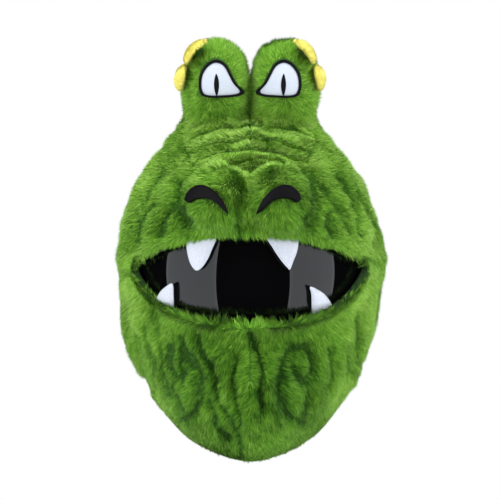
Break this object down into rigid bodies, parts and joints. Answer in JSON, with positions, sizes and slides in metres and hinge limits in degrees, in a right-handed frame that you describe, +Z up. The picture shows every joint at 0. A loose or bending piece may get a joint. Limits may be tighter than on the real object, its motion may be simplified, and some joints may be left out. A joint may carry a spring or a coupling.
{
  "type": "covered motorcycle helmet",
  "caption": "Full-face motorcycle helmet dressed in a plush crocodile cover, with a lifting smoked visor, sliding vents and a quick-release chin strap.",
  "frame": {"origin": "centre of the bounding box at its lowest height, on the surface that the plush hem stands on", "axes": "+Z up to the eye mounds, the face looks along -Y, +X is to the viewer's right when facing it"},
  "size_m": [0.279, 0.3494, 0.401],
  "materials": {
    "plush": "matte",
    "yellow_felt": "matte",
    "white_felt": "matte",
    "black_satin": "satin",
    "shell_paint": "gloss",
    "visor_tint": "gloss",
    "foam": "matte",
    "textile": "matte",
    "rubber": "matte",
    "plastic": "matte",
    "steel": "satin",
    "webbing": "matte",
    "red_tape": "matte"
  },
  "bodies": {
    "helmet": {"cover_head": "plush", "cover_jaw": "plush", "cover_nape": "plush", "hem_band": "plush", "nose_pad": "plush", "snout_ridge_1": "plush", "snout_ridge_2": "plush", "snout_ridge_3": "plush", "eye_mound_left": "plush", "eye_mound_right": "plush", "hem_elastic": "webbing", "chin_strap_left": "webbing", "chin_strap_right": "webbing", "nostril_left": "black_satin", "nostril_right": "black_satin", "eye_outline_left": "black_satin", "eye_outline_right": "black_satin", "pupil_left": "black_satin", "pupil_right": "black_satin", "eye_white_left": "white_felt", "eye_white_right": "white_felt", "tooth_upper_left": "white_felt", "tooth_upper_right": "white_felt", "tooth_lower_left": "white_felt", "tooth_lower_right": "white_felt", "brow_scale_left_upper": "yellow_felt", "brow_scale_left_lower": "yellow_felt", "brow_scale_right_upper": "yellow_felt", "brow_scale_right_lower": "yellow_felt", "helmet_shell": "shell_paint", "crown_eps": "foam", "chin_eps": "foam", "comfort_liner": "textile", "cheek_pad_left": "textile", "cheek_pad_right": "textile", "neck_roll": "textile", "strap_sleeve_left": "textile", "strap_sleeve_right": "textile", "breath_deflector": "rubber", "eyeport_gasket": "rubber", "edge_trim": "rubber", "pivot_plate_left": "plastic", "pivot_plate_right": "plastic", "pivot_cap_left": "plastic", "pivot_cap_right": "plastic", "chin_vent_frame": "plastic", "crown_vent_frame": "plastic", "buckle_tongue": "plastic", "strap_rivet_left": "steel", "strap_rivet_right": "steel", "buckle_receiver": "steel"},
    "visor": {"visor": "visor_tint"},
    "chin_vent": {"chin_vent_slider": "plastic"},
    "crown_vent": {"crown_vent_slider": "plastic"},
    "lever": {"buckle_lever": "steel", "lever_pull_tape": "red_tape"}
  },
  "joints": [
    {"name": "visor_lift", "type": "hinge", "parent": "helmet", "child": "visor", "pos_m": [0, -0.00585, 0.172], "axis": [-1, 0, 0], "range_deg": [0, 55]},
    {"name": "chin_vent_slide", "type": "slide", "parent": "helmet", "child": "chin_vent", "axis": [1, 0, 0], "range_m": [0, 0.008]},
    {"name": "crown_vent_slide", "type": "slide", "parent": "helmet", "child": "crown_vent", "axis": [0, 1, 0], "range_m": [0, 0.008]},
    {"name": "buckle_lever_pull", "type": "hinge", "parent": "helmet", "child": "lever", "pos_m": [0.027, -0.01985, 0.0177], "axis": [0, -1, 0], "range_deg": [0, 18], "stiffness_Nm_per_rad": 0.05, "springref_deg": -5.73}
  ]
}
